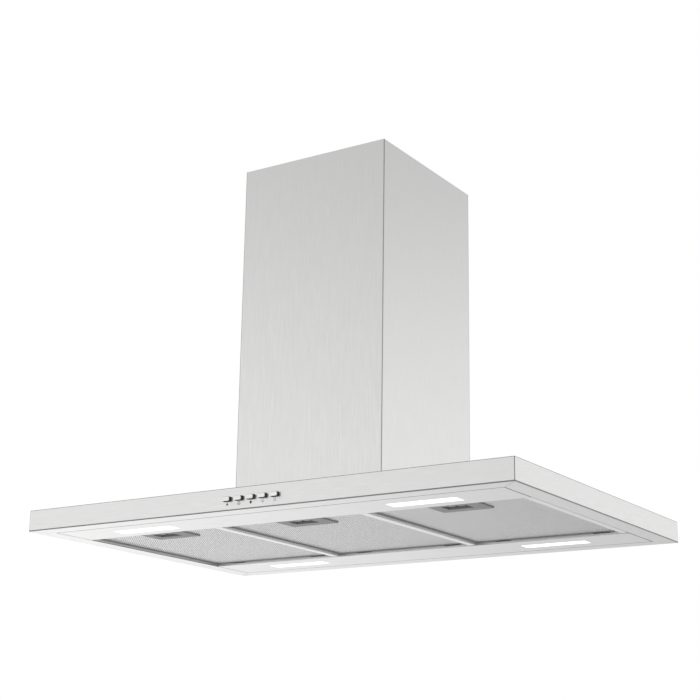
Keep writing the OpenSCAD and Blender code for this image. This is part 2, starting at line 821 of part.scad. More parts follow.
// The impeller's middle disc with its hub
module impeller_disc() {
    color("silver") {
        blower_slice(-ring_t / 2, ring_t / 2) difference() {
            circle(impeller_r);
            circle(hub_r - 1);
        }
        blower_slice(-hub_half, hub_half) difference() {
            circle(hub_r);
            circle(shaft_r + press_gap);
        }
    }
}

// The rings that hold the blades' ends
module impeller_rings() {
    color("silver") for (y = [-impeller_half, impeller_half - ring_t])
        blower_slice(y, y + ring_t) difference() {
            circle(impeller_r);
            circle(impeller_r - blade_d - 1);
        }
}

// The blades between the disc and a ring, on the front (-1) or rear (1)
module impeller_blades(s) {
    blade_mid = impeller_r - blade_d / 2 - 1;
    near = ring_t / 2;
    far = impeller_half - ring_t;
    color("silver")
        blower_slice(s < 0 ? -far : near, s < 0 ? -near : far) for (k = [0:blade_count - 1])
            rotate(k * 360 / blade_count) translate([blade_mid, 0]) rotate(35)
                square([blade_d - 2, blade_t], center = true);
}

module motor_shaft() {
    color("silver") blower_slice(-20, motor_y + 18) circle(shaft_r);
}

module motor() {
    color("dimgray") difference() {
        blower_slice(motor_y, motor_y + motor_l) circle(motor_r);
        blower_slice(motor_y - 1, motor_y + 20) circle(shaft_r + shaft_gap);
    }
}

// Three arms that carry the motor over the rear inlet ring
module motor_bracket() {
    base = scroll_half + inlet_ring_h;
    reach = scroll_r - 16;
    color("gray") {
        blower_slice(base, base + leg_t) difference() {
            union() {
                circle(motor_r + bracket_rim);
                for (k = [0:2]) rotate(90 + k * 120) translate([motor_r / 2, -bracket_arm / 2])
                    square([reach - motor_r / 2, bracket_arm]);
            }
            circle(motor_r + 0.2);
        }
        blower_slice(scroll_half, base + eps) for (k = [0:2]) rotate(90 + k * 120)
            translate([reach - bracket_arm, -bracket_arm / 2]) square(bracket_arm);
    }
}

// The mounting plate with the round duct collar
module outlet_spigot() {
    color("gray") difference() {
        union() {
            span([-lw, -plate_half_y, outlet_z], [lw, plate_half_y, plate_top]);
            translate([0, 0, plate_top - eps]) cylinder(r = collar_r, h = collar_h + eps);
        }
        translate([0, 0, outlet_z - 1]) cylinder(r = collar_in, h = collar_h + mount_plate_t + 2);
        translate([0, 0, pin_z]) rotate([90, 0, 0])
            cylinder(r = flap_pin_r + press_gap, h = 3 * collar_r, center = true);
    }
}

module flap_pin() {
    color("silver") translate([0, 0, pin_z]) rotate([90, 0, 0])
        cylinder(r = flap_pin_r, h = 2 * (collar_r - 0.3), center = true);
}

// A half-round flap, drawn for the right (1) or the left (-1), with two knuckles on the pin
module flap(s) {
    start = knuckle_r + 1;
    mids = [s * knuckle_near, -s * knuckle_far];
    color("lightgray") difference() {
        union() {
            translate([0, 0, pin_z - flap_t / 2]) linear_extrude(flap_t) intersection() {
                circle(flap_r);
                translate([s > 0 ? start : -flap_r - start, -flap_r]) square([flap_r, 2 * flap_r]);
            }
            for (m = mids) {
                translate([0, m, pin_z]) rotate([90, 0, 0])
                    cylinder(r = knuckle_r, h = knuckle_l, center = true);
                translate([s * start / 2 + s, m, pin_z]) cube([start + 2, knuckle_l, flap_t], center = true);
            }
        }
        translate([0, 0, pin_z]) rotate([90, 0, 0])
            cylinder(r = flap_pin_r + flap_gap, h = 3 * collar_r, center = true);
    }
}

// The terminal box on the mounting plate
module junction_box() {
    wall = 2;
    color("black") translate([box_x, box_y, plate_top]) difference() {
        span([-box_w / 2, -box_d / 2, 0], [box_w / 2, box_d / 2, box_h]);
        span([-box_w / 2 + wall, -box_d / 2 + wall, -1], [box_w / 2 - wall, box_d / 2 - wall, box_h - wall]);
        translate([0, 0, box_h - wall - 1]) cylinder(r = gland_bore_r, h = wall + 2);
    }
}

// The gland that holds the supply cable
module cable_gland() {
    color("black") translate([box_x, box_y, plate_top + box_h]) difference() {
        union() {
            cylinder(r = gland_r, h = gland_h);
            cylinder(r = 1.25 * gland_r, h = gland_h / 3, $fn = 6);
        }
        translate([0, 0, -1]) cylinder(r = gland_bore_r, h = gland_h + 2);
    }
}

canopy_top();
front_panel();
rear_panel();
left_end_panel();
right_end_panel();
corner_braces();
front_light_strip();
rear_light_strip();
filter_frame(0);  // filter_frame_left
filter_frame(1);  // filter_frame_middle
filter_frame(2);  // filter_frame_right
filter_mesh(0);  // filter_mesh_left
filter_mesh(1);  // filter_mesh_middle
filter_mesh(2);  // filter_mesh_right
latch_plate(0);  // latch_plate_left
latch_plate(1);  // latch_plate_middle
latch_plate(2);  // latch_plate_right
latch_slider(0);  // latch_slider_left
latch_slider(1);  // latch_slider_middle
latch_slider(2);  // latch_slider_right
latch_spring(0);  // latch_spring_left
latch_spring(1);  // latch_spring_middle
latch_spring(2);  // latch_spring_right
lamp_lens(-1, -1);  // lamp_lens_front_left
lamp_lens(1, -1);  // lamp_lens_front_right
lamp_lens(-1, 1);  // lamp_lens_rear_left
lamp_lens(1, 1);  // lamp_lens_rear_right
lamp_housings();
led_boards();
control_box();
switch_housing();
switch_board();
button(0);  // button_1
button(1);  // button_2
button(2);  // button_3
button(3);  // button_4
button(4);  // button_5
chimney_front();
chimney_wrap();
upper_chimney();
lower_frame();
upper_frame();
ceiling_plate();
frame_bolts();
blower_wrap();
blower_side(-1);  // blower_side_front
blower_side(1);  // blower_side_rear
impeller_disc();
impeller_rings();
impeller_blades(-1);  // impeller_blades_front
impeller_blades(1);  // impeller_blades_rear
motor_shaft();
motor();
motor_bracket();
outlet_spigot();
flap_pin();
flap(-1);  // flap_left
flap(1);  // flap_right
junction_box();
cable_gland();
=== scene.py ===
# %% [markdown]
# # An island range hood
# A slim steel canopy carries three grease filters, four lamps and five push buttons.
# A telescoping chimney above it hides the blower. The construction comes ready made as a
# frame of named nodes, and this lesson gives every node its finish, then models what a
# plain solid can't show: the expanded mesh, the latch springs, the button caps, their
# printed marks and the blower's screws.

# %% Load the frame
import math
import bpy
import bmesh
from mathutils import Matrix, Vector


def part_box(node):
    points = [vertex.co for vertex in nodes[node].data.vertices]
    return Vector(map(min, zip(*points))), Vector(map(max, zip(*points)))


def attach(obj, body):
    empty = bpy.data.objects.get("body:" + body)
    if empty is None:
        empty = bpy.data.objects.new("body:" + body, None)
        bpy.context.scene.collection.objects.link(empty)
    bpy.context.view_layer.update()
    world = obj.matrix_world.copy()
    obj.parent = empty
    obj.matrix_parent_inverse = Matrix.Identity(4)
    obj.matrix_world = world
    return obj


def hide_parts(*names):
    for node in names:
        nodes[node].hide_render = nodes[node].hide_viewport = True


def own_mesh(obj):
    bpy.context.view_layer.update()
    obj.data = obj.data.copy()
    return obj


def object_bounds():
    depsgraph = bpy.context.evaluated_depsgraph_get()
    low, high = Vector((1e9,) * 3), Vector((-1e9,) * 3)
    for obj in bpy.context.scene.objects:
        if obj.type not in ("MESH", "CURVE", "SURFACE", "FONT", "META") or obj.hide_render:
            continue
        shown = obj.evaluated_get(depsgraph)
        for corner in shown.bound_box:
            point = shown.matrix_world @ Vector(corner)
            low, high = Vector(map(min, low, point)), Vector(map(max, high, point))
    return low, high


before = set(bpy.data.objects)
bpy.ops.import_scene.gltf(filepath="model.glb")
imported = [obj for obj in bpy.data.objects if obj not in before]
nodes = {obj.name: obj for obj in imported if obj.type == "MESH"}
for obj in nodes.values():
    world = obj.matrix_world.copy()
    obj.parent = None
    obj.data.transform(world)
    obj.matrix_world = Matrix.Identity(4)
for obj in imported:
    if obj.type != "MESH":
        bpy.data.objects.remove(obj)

scene = bpy.context.scene
cad_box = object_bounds()
low, high = Vector(cad_box[0]), Vector(cad_box[1])
MM = 0.001
print("frame box in mm:", [round(v / MM, 1) for v in high - low])

# %% [markdown]
# ## Camera
# The hood is seen from below and from the right, as a person at the hob sees it. A camera
# can be aimed with a Track To constraint, or placed by its own axes. The axes are used here,
# because they also hold the small roll that keeps the canopy's edges at their real slope.

# %% Camera
CAMERA_AT = Vector((1.37518, -2.14132, -0.40999))
YAW, PITCH, ROLL = (math.radians(a) for a in (32.98, 16.10, 0.87))

ahead = Vector((-math.sin(YAW) * math.cos(PITCH), math.cos(YAW) * math.cos(PITCH), math.sin(PITCH)))
level = Vector((math.cos(YAW), math.sin(YAW), 0))
above = level.cross(ahead)
right = level * math.cos(ROLL) + above * math.sin(ROLL)
up = above * math.cos(ROLL) - level * math.sin(ROLL)

camera_data = bpy.data.cameras.new("camera")
camera_data.sensor_width = 36
camera_data.lens = 79.0
camera = bpy.data.objects.new("camera", camera_data)
scene.collection.objects.link(camera)
turn = Matrix((right, up, -ahead)).transposed().to_4x4()
camera.matrix_world = Matrix.Translation(CAMERA_AT) @ turn
scene.camera = camera
scene.view_settings.view_transform = "Standard"
print("camera looks up by", round(math.degrees(PITCH), 1), "degrees")

# %% [markdown]
# ## Studio
# Brushed steel has little colour of its own and mostly shows what is round it, so the room
# matters as much as the metal. The world is a soft white tent, darker overhead and a little
# darker in front, so the two sides of the chimney differ and both fade towards the top. The
# camera itself sees plain white. Two broad lamps light what isn't metal, and are kept out of
# the reflections, where they would clip to white.

# %% World
def link(tree, a, b):
    tree.links.new(a, b)


def add(tree, kind, **values):
    """Adds a node and sets its properties by name."""
    made = tree.nodes.new(kind)
    for key, value in values.items():
        setattr(made, key, value)
    return made


def ramp_stops(ramp, stops):
    """Sets a colour ramp's stops from pairs of a place and a grey level."""
    elements = ramp.color_ramp.elements
    while len(elements) < len(stops):
        elements.new(0.5)
    for element, (place, grey) in zip(elements, stops):
        element.position = place
        element.color = (grey, grey, grey, 1)


world = bpy.data.worlds.new("tent")
scene.world = world
world.use_nodes = True
sky = world.node_tree
sky.nodes.clear()
direction = add(sky, "ShaderNodeTexCoord")
split = add(sky, "ShaderNodeSeparateXYZ")
link(sky, direction.outputs["Generated"], split.inputs[0])


def tent_ramp(component, stops):
    """A grey ramp over one component of the direction, with stops from -1 to 1."""
    lift = add(sky, "ShaderNodeMapRange")
    lift.inputs["From Min"].default_value = -1
    ramp = add(sky, "ShaderNodeValToRGB")
    ramp.color_ramp.interpolation = "EASE"
    ramp_stops(ramp, [((place + 1) / 2, grey) for place, grey in stops])
    link(sky, split.outputs[component], lift.inputs["Value"])
    link(sky, lift.outputs["Result"], ramp.inputs["Fac"])
    return ramp.outputs["Color"]


def times(a, b):
    """Multiplies two colours of the world's tree."""
    mix = add(sky, "ShaderNodeMix", data_type="RGBA", blend_type="MULTIPLY")
    mix.inputs["Factor"].default_value = 1
    link(sky, a, mix.inputs["A"])
    link(sky, b, mix.inputs["B"])
    return mix.outputs["Result"]


HEIGHT_TONES = ((-1, 0.86), (0.0, 0.92), (0.16, 1.0), (0.22, 0.98), (0.42, 0.58), (1, 0.56))
DEPTH_TONES = ((-1, 0.98), (-0.5, 1.0), (0.5, 0.97), (1, 0.96))
SIDE_TONES = ((-1, 0.86), (-0.68, 0.94), (-0.58, 1.0), (-0.38, 0.82), (0.1, 0.92), (1, 1.0))
tones = times(times(tent_ramp("Z", HEIGHT_TONES), tent_ramp("Y", DEPTH_TONES)),
              tent_ramp("X", SIDE_TONES))
soft = add(sky, "ShaderNodeBackground")
plain = add(sky, "ShaderNodeBackground")
path = add(sky, "ShaderNodeLightPath")
pick = add(sky, "ShaderNodeMixShader")
out = add(sky, "ShaderNodeOutputWorld")
link(sky, tones, soft.inputs["Color"])
soft.inputs["Strength"].default_value = 1.1
plain.inputs["Color"].default_value = (1, 1, 1, 1)
link(sky, path.outputs["Is Camera Ray"], pick.inputs["Fac"])
link(sky, soft.outputs[0], pick.inputs[1])
link(sky, plain.outputs[0], pick.inputs[2])
link(sky, pick.outputs[0], out.inputs["Surface"])


# %% Lamps
def soft_lamp(name, place, aim, size, power):
    """A square area lamp at place, turned towards aim."""
    data = bpy.data.lights.new(name, "AREA")
    data.shape = "SQUARE"
    data.size = size
    data.energy = power
    lamp = bpy.data.objects.new(name, data)
    lamp.visible_glossy = False
    lamp.matrix_world = Matrix.Translation(Vector(place)) @ \
        (Vector(aim) - Vector(place)).to_track_quat("-Z", "Y").to_matrix().to_4x4()
    scene.collection.objects.link(lamp)


soft_lamp("left_window", (-2.6, -2.8, 1.6), (0, 0, 0.25), 2.4, 26)
soft_lamp("right_window", (3.2, -0.6, 1.0), (0, 0, 0.25), 2.0, 14)

# %% [markdown]
# ## Floor
# The hood hangs about as high as over a real hob, so its floor is far below it. The floor is
# pale and dull, and lights the underside from below, as a kitchen floor does. The camera
# sees it as the plain white backdrop. Polished metal sees it bright on the left and fading to
# the right, like a floor beside a window, which grades the steel's underside. From underneath
# the floor is clear, so the hood can be looked at from steeply below.

# %% Floor
FLOOR_DROP = 1.65
FLOOR_HALF = 9.0
FLOOR_FADE_X = (-7.5, -1.0)  # where the fade starts and ends, in metres
FLOOR_FADE = (1.72, 0.6)     # how bright polished metal sees the floor there


def principled(name):
    """A new material with its tree, its Principled BSDF and nothing else."""
    material = bpy.data.materials.new(name)
    material.use_nodes = True
    tree = material.node_tree
    tree.nodes.clear()
    shader = add(tree, "ShaderNodeBsdfPrincipled")
    output = add(tree, "ShaderNodeOutputMaterial")
    link(tree, shader.outputs["BSDF"], output.inputs["Surface"])
    return material, tree, shader


def mesh_object(name, points, faces, materials=()):
    """Links a new mesh object made from points and faces."""
    mesh = bpy.data.meshes.new(name)
    mesh.from_pydata([tuple(p) for p in points], [], faces)
    mesh.validate()
    for material in materials:
        mesh.materials.append(material)
    made = bpy.data.objects.new(name, mesh)
    scene.collection.objects.link(made)
    return made


pale, pale_tree, pale_shader = principled("pale_floor")
pale_shader.inputs["Base Color"].default_value = (0.86, 0.86, 0.855, 1)
pale_shader.inputs["Roughness"].default_value = 0.8
backdrop = add(pale_tree, "ShaderNodeEmission")
seen = add(pale_tree, "ShaderNodeLightPath")
across = add(pale_tree, "ShaderNodeSeparateXYZ")
link(pale_tree, add(pale_tree, "ShaderNodeTexCoord").outputs["Object"], across.inputs[0])
fade = add(pale_tree, "ShaderNodeMapRange")
fade.inputs["From Min"].default_value, fade.inputs["From Max"].default_value = FLOOR_FADE_X
fade.inputs["To Min"].default_value, fade.inputs["To Max"].default_value = FLOOR_FADE
level_mix = add(pale_tree, "ShaderNodeMix", data_type="FLOAT")
link(pale_tree, across.outputs["X"], fade.inputs["Value"])
link(pale_tree, seen.outputs["Is Camera Ray"], level_mix.inputs["Factor"])
link(pale_tree, fade.outputs["Result"], level_mix.inputs["A"])
level_mix.inputs["B"].default_value = 1.0
link(pale_tree, level_mix.outputs["Result"], backdrop.inputs["Strength"])
either = add(pale_tree, "ShaderNodeMath", operation="MAXIMUM")
blend = add(pale_tree, "ShaderNodeMixShader")
link(pale_tree, seen.outputs["Is Camera Ray"], either.inputs[0])
link(pale_tree, seen.outputs["Is Glossy Ray"], either.inputs[1])
link(pale_tree, either.outputs[0], blend.inputs["Fac"])
link(pale_tree, pale_shader.outputs["BSDF"], blend.inputs[1])
link(pale_tree, backdrop.outputs["Emission"], blend.inputs[2])
clear = add(pale_tree, "ShaderNodeBsdfTransparent")
underneath = add(pale_tree, "ShaderNodeMixShader")
link(pale_tree, add(pale_tree, "ShaderNodeNewGeometry").outputs["Backfacing"], underneath.inputs["Fac"])
link(pale_tree, blend.outputs[0], underneath.inputs[1])
link(pale_tree, clear.outputs["BSDF"], underneath.inputs[2])
pale_output = next(n for n in pale_tree.nodes if n.type == "OUTPUT_MATERIAL")
link(pale_tree, underneath.outputs[0], pale_output.inputs["Surface"])
ground = low.z - FLOOR_DROP
corners = [(x * FLOOR_HALF, y * FLOOR_HALF, ground) for x, y in ((-1, -1), (1, -1), (1, 1), (-1, 1))]
floor = mesh_object("floor", corners, [(0, 1, 2, 3)], [pale])

# %% [markdown]
# ## Shared effects
# Sheet steel is brushed with a belt, which leaves hair-thin lines in one direction. They can
# be painted in an image, or made from noise that is squeezed across the grain. Noise is used,
# because it has no seams and no resolution. The group below takes the object's own
# coordinates, squeezes them, and gives out one value for tone, gloss and height.

# %% Brushed grain group
def new_group(name, inputs, outputs):
    """A shader node group with the given float or vector sockets."""
    group = bpy.data.node_groups.new(name, "ShaderNodeTree")
    for label, kind, value in inputs:
        socket = group.interface.new_socket(label, in_out="INPUT", socket_type=kind)
        if value is not None:
            socket.default_value = value
    for label, kind in outputs:
        group.interface.new_socket(label, in_out="OUTPUT", socket_type=kind)
    return group, add(group, "NodeGroupInput"), add(group, "NodeGroupOutput")


FLOAT, VECTOR = "NodeSocketFloat", "NodeSocketVector"


def noise(tree, vector, scale, detail=2.0, rough=0.5):
    """A noise texture on the given vector socket."""
    made = add(tree, "ShaderNodeTexNoise")
    made.inputs["Scale"].default_value = scale
    made.inputs["Detail"].default_value = detail
    made.inputs["Roughness"].default_value = rough
    link(tree, vector, made.inputs["Vector"])
    return made.outputs["Fac"]


def spread(tree, value, lo, hi, span=(0.3, 0.7)):
    """Maps a 0 to 1 socket onto lo to hi."""
    made = add(tree, "ShaderNodeMapRange")
    made.inputs["From Min"].default_value = span[0]
    made.inputs["From Max"].default_value = span[1]
    made.inputs["To Min"].default_value = lo
    made.inputs["To Max"].default_value = hi
    link(tree, value, made.inputs["Value"])
    return made.outputs["Result"]


grain, g_in, g_out = new_group(
    "brushed_grain", [("Vector", VECTOR, None), ("Squeeze", VECTOR, (1, 1, 1))],
    [("Line", FLOAT)])
squeeze = add(grain, "ShaderNodeVectorMath", operation="MULTIPLY")
link(grain, g_in.outputs["Vector"], squeeze.inputs[0])
link(grain, g_in.outputs["Squeeze"], squeeze.inputs[1])
link(grain, noise(grain, squeeze.outputs["Vector"], 900, 3.0, 0.65), g_out.inputs["Line"])

# %% [markdown]
# ## Painted shade at joints and folded edges
# Where two sheets meet, a hair of shadow runs along the joint. The real openings are there in
# the metal, but they are thinner than the eye resolves, so the finish paints that shadow as
# painted shade on the last millimetre of metal beside them, and along the folded edges and
# upright corners too. The group measures how far a point is from a rectangle in X and Y,
# and gives 1 on its outline, or on the upright lines through its corners.

# %% Painted joint shade group
def node_math(tree, operation, a, b=None):
    """A Math node fed by sockets or plain numbers."""
    made = add(tree, "ShaderNodeMath", operation=operation)
    for slot, value in zip(made.inputs, (a, b)):
        if isinstance(value, (int, float)):
            slot.default_value = value
        elif value is not None:
            link(tree, value, slot)
    return made.outputs[0]


seam_shade_group, e_in, e_out = new_group(
    "painted_seam_shade",
    [("Vector", VECTOR, None), ("Half Width", FLOAT, 0.4), ("Half Depth", FLOAT, 0.3),
     ("Line", FLOAT, 0.001)],
    [("Outline", FLOAT), ("Corner", FLOAT)])
point = add(seam_shade_group, "ShaderNodeSeparateXYZ")
link(seam_shade_group, e_in.outputs["Vector"], point.inputs[0])
side_x = node_math(seam_shade_group, "ABSOLUTE", point.outputs["X"])
side_y = node_math(seam_shade_group, "ABSOLUTE", point.outputs["Y"])
out_x = node_math(seam_shade_group, "SUBTRACT", side_x, e_in.outputs["Half Width"])
out_y = node_math(seam_shade_group, "SUBTRACT", side_y, e_in.outputs["Half Depth"])
edge_off = node_math(seam_shade_group, "ABSOLUTE", node_math(seam_shade_group, "MAXIMUM", out_x, out_y))
link(seam_shade_group, node_math(seam_shade_group, "LESS_THAN", edge_off, e_in.outputs["Line"]), e_out.inputs["Outline"])
corner_off = node_math(seam_shade_group, "ABSOLUTE", node_math(seam_shade_group, "MINIMUM", out_x, out_y))
link(seam_shade_group, node_math(seam_shade_group, "LESS_THAN", corner_off, e_in.outputs["Line"]), e_out.inputs["Corner"])

# %% [markdown]
# ## Speckle group
# Moulded plastic, paint and galvanised zinc aren't even either. One group gives a fine
# speckle for the first two and a patchwork of crystals for the zinc, each material choosing
# the scale it needs.

# %% Speckle group
speckle, s_in, s_out = new_group(
    "speckle", [("Vector", VECTOR, None), ("Scale", FLOAT, 800.0)],
    [("Fine", FLOAT), ("Crystals", FLOAT)])
fine = add(speckle, "ShaderNodeTexNoise")
fine.inputs["Detail"].default_value = 3
link(speckle, s_in.outputs["Vector"], fine.inputs["Vector"])
link(speckle, s_in.outputs["Scale"], fine.inputs["Scale"])
crystal = add(speckle, "ShaderNodeTexVoronoi")
crystal.inputs["Randomness"].default_value = 1
link(speckle, s_in.outputs["Vector"], crystal.inputs["Vector"])
link(speckle, s_in.outputs["Scale"], crystal.inputs["Scale"])
one = add(speckle, "ShaderNodeSeparateXYZ")
link(speckle, crystal.outputs["Color"], one.inputs[0])
link(speckle, fine.outputs["Fac"], s_out.inputs["Fine"])
link(speckle, one.outputs["X"], s_out.inputs["Crystals"])


# %% Helpers for finishes
def group_node(tree, group, vector, **values):
    """Places a node group, feeds it a vector socket and sets its named values."""
    made = add(tree, "ShaderNodeGroup", node_tree=group)
    link(tree, vector, made.inputs["Vector"])
    for key, value in values.items():
        made.inputs[key].default_value = value
    return made


def object_vector(tree):
    """The Object output of a Texture Coordinate node."""
    return add(tree, "ShaderNodeTexCoord").outputs["Object"]


def tint(tree, value, dark, light, shader, span=(0.3, 0.7)):
    """Mixes two colours by a socket and feeds Base Color."""
    fac = spread(tree, value, 0, 1, span)
    mix = add(tree, "ShaderNodeMix", data_type="RGBA")
    link(tree, fac, mix.inputs["Factor"])
    mix.inputs["A"].default_value = (*dark, 1)
    mix.inputs["B"].default_value = (*light, 1)
    link(tree, mix.outputs["Result"], shader.inputs["Base Color"])


def bump(tree, height, shader, strength, distance):
    """Feeds a height into the shader's Normal through a Bump node."""
    made = add(tree, "ShaderNodeBump")
    made.inputs["Strength"].default_value = strength
    made.inputs["Distance"].default_value = distance
    link(tree, height, made.inputs["Height"])
    link(tree, made.outputs["Normal"], shader.inputs["Normal"])


# %% [markdown]
# ## Brushed stainless steel
# The canopy's long panels are brushed from left to right, its end panels from front to back
# and the chimney up and down, as each sheet was brushed before it was folded. Metallic is 1,
# so the tone comes from reflections. The lines vary the roughness and the tone a little, and
# a weak bump breaks the reflections up.

# %% Brushed steel
def darkened(tree, shader, mask, shade):
    """Paints shade: multiplies the shader's Base Color by shade where the mask is 1."""
    before = shader.inputs["Base Color"].links[0].from_socket
    mix = add(tree, "ShaderNodeMix", data_type="RGBA", blend_type="MULTIPLY")
    link(tree, mask, mix.inputs["Factor"])
    link(tree, before, mix.inputs["A"])
    mix.inputs["B"].default_value = (shade, shade, shade, 1)
    link(tree, mix.outputs["Result"], shader.inputs["Base Color"])


def z_band(tree, lo, hi):
    """1 where the object's own height is between lo and hi."""
    parts = add(tree, "ShaderNodeSeparateXYZ")
    link(tree, object_vector(tree), parts.inputs[0])
    over = node_math(tree, "GREATER_THAN", parts.outputs["Z"], lo)
    return node_math(tree, "MULTIPLY", over, node_math(tree, "LESS_THAN", parts.outputs["Z"], hi))


def brushed_steel(name, squeeze_by, dark, light, rough=(0.27, 0.36), seam_shades=()):
    """Steel with its grain along the axis whose squeeze is small, and painted shade lines at its
    joints, edges and corners.
    """
    material, tree, shader = principled(name)
    shader.inputs["Metallic"].default_value = 1.0
    marks = group_node(tree, grain, object_vector(tree), Squeeze=squeeze_by)
    line = marks.outputs["Line"]
    tint(tree, line, dark, light, shader)
    # Each entry paints a thin line of shade along a joint, folded edge or corner.
    for where, half_x, half_y, band, wide, shade in seam_shades:
        mark = group_node(tree, seam_shade_group, object_vector(tree), **{
            "Half Width": half_x, "Half Depth": half_y, "Line": wide})
        mask = node_math(tree, "MULTIPLY", mark.outputs[where], z_band(tree, *band))
        darkened(tree, shader, mask, shade)
    link(tree, spread(tree, line, rough[1], rough[0]), shader.inputs["Roughness"])
    bump(tree, line, shader, 0.05, 0.0002)
    return material


SQUEEZE = 0.03
ALONG_X, ALONG_Y, ALONG_Z = (SQUEEZE, 1, 1), (1, SQUEEZE, 1), (1, 1, SQUEEZE)
STEEL_DARK, STEEL_LIGHT = (0.79, 0.79, 0.785), (0.835, 0.835, 0.83)
panel_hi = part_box("rear_panel")[1]
half_x, half_y = high.x, panel_hi.y
strip_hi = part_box("rear_light_strip")[1]
RIM = 32 * MM
strip_y = half_y - RIM
shell_lo, shell_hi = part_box("chimney_wrap")

# The heights between which a painted joint shade shows, as pairs of a lowest and a highest Z.
SKIN = 0.9 * MM
UNDERSIDE, FOOT_LINE, WALL = (-1, SKIN), (SKIN, SKIN + 1 * MM), (SKIN, 1)
TOP_LINE = (panel_hi.z - 0.7 * MM, 1)

# Each painted shade line: which line, its rectangle's half width and depth, heights, line width and
# shade.
CANOPY_SEAM_SHADES = (
    ("Outline", strip_hi.x, strip_y, UNDERSIDE, 1.3 * MM, 0.25),
    ("Outline", half_x, half_y, FOOT_LINE, 0.2 * MM, 0.2),
    ("Outline", half_x, half_y, UNDERSIDE, 0.9 * MM, 0.35),
    ("Outline", half_x, half_y, TOP_LINE, 0.2 * MM, 0.25),
    ("Corner", half_x, half_y, WALL, 0.9 * MM, 0.4),
)
CHIMNEY_SEAM_SHADES = (
    ("Corner", shell_hi.x, shell_hi.y, (0, 1), 0.9 * MM, 0.45),
    ("Outline", shell_hi.x, shell_hi.y, (0, shell_lo.z + 1.4 * MM), 0.3 * MM, 0.4),
)
steel_x = brushed_steel("steel_brushed_across", ALONG_X, STEEL_DARK, STEEL_LIGHT, seam_shades=CANOPY_SEAM_SHADES)
steel_y = brushed_steel("steel_brushed_deep", ALONG_Y, STEEL_DARK, STEEL_LIGHT, seam_shades=CANOPY_SEAM_SHADES)
steel_z = brushed_steel("steel_brushed_upright", ALONG_Z, STEEL_DARK, STEEL_LIGHT, seam_shades=CHIMNEY_SEAM_SHADES)

# %% [markdown]
# ## Other metals
# The filters are aluminium, softer and whiter than the steel. The narrow lips of their frames
# lie recessed above the lamp strips, and carry painted shade, as little light gets there.
# The hidden frames, the blower and the mounting plate are galvanised, with a pattern of zinc
# crystals. Shafts, pins and bolts are bright plated steel.

# %% Aluminium, zinc and plated steel
LIP_BAND, LIP_SHADE = (4.3 * MM, 5.4 * MM), 0.3
aluminium = brushed_steel(
    "filter_aluminium", ALONG_Y, (0.95, 0.95, 0.95), (0.99, 0.99, 0.99), (0.26, 0.34))
frame_alu, frame_tree, frame_shader = principled("filter_frame_aluminium")
frame_shader.inputs["Metallic"].default_value = 1.0
frame_marks = group_node(frame_tree, grain, object_vector(frame_tree), Squeeze=ALONG_Y)
tint(frame_tree, frame_marks.outputs["Line"],
     (0.94, 0.94, 0.94), (0.985, 0.985, 0.985), frame_shader)
# Painted shade darkens the frames' recessed lips.
darkened(frame_tree, frame_shader, z_band(frame_tree, *LIP_BAND), LIP_SHADE)
frame_shader.inputs["Roughness"].default_value = 0.36


def galvanised(name, crystal_size, dark, light):
    """Zinc-coated steel whose crystals are crystal_size across, in metres."""
    material, tree, shader = principled(name)
    shader.inputs["Metallic"].default_value = 0.9
    marks = group_node(tree, speckle, object_vector(tree), Scale=1 / crystal_size)
    tint(tree, marks.outputs["Crystals"], dark, light, shader, (0, 1))
    link(tree, spread(tree, marks.outputs["Crystals"], 0.35, 0.6, (0, 1)), shader.inputs["Roughness"])
    return material


zinc = galvanised("galvanised_steel", 0.007, (0.42, 0.44, 0.46), (0.60, 0.62, 0.64))
plated = brushed_steel("plated_steel", (1, 1, 1), (0.55, 0.55, 0.54), (0.75, 0.75, 0.74), (0.2, 0.32))


# %% [markdown]
# ## Plastics, paint and boards
# Moulded plastic has a fine grain from its tool, which shows as a soft, uneven gloss. The
# same recipe with other colours gives the latch plates, the housings, the painted motor and
# the circuit boards. A latch slider is pale on its ribs, with painted shade, nearly black, behind them.

# %% Plastics
def moulded(name, dark, light, rough=(0.42, 0.6), scale=900.0, depth=0.00006):
    """Moulded plastic or paint with a fine speckle."""
    material, tree, shader = principled(name)
    marks = group_node(tree, speckle, object_vector(tree), Scale=scale)
    tint(tree, marks.outputs["Fine"], dark, light, shader)
    link(tree, spread(tree, marks.outputs["Fine"], rough[0], rough[1]), shader.inputs["Roughness"])
    bump(tree, marks.outputs["Fine"], shader, 0.25, depth)
    return material


latch_grey = moulded("latch_grey_plastic", (0.27, 0.27, 0.275), (0.34, 0.34, 0.345))
slider_grey = moulded("slider_dark_plastic", (0.34, 0.34, 0.345), (0.42, 0.42, 0.425))
# Painted shade: the slider is darkened to nearly black deeper than RIB_DEEP, behind its ribs.
RIB_DEEP, RIB_SHADE = 1.2 * MM, 0.08
slider_tree = slider_grey.node_tree
shade_behind_ribs = z_band(slider_tree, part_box("latch_slider_left")[0].z + RIB_DEEP, 1)
darkened(slider_tree, slider_tree.nodes["Principled BSDF"], shade_behind_ribs, RIB_SHADE)
black = moulded("black_plastic", (0.012, 0.012, 0.013), (0.025, 0.025, 0.027))
white_board = moulded("white_board", (0.78, 0.78, 0.76), (0.88, 0.88, 0.86))
green_board = moulded("green_board", (0.01, 0.12, 0.05), (0.03, 0.22, 0.09), (0.25, 0.4), 400.0)
motor_paint = moulded("motor_paint", (0.03, 0.03, 0.035), (0.06, 0.06, 0.065), (0.3, 0.5), 500.0)
flap_grey = moulded("flap_plastic", (0.50, 0.50, 0.49), (0.58, 0.58, 0.57))
housing_grey = moulded("housing_aluminium", (0.40, 0.40, 0.40), (0.48, 0.48, 0.48))

# %% [markdown]
# ## Lamp light
# The four lamps are frosted diffusers, lit from behind by a row of diodes. Their white is a
# little uneven, as frosted plastic is. The light is an emission colour on the same shader, a
# little over plain white.

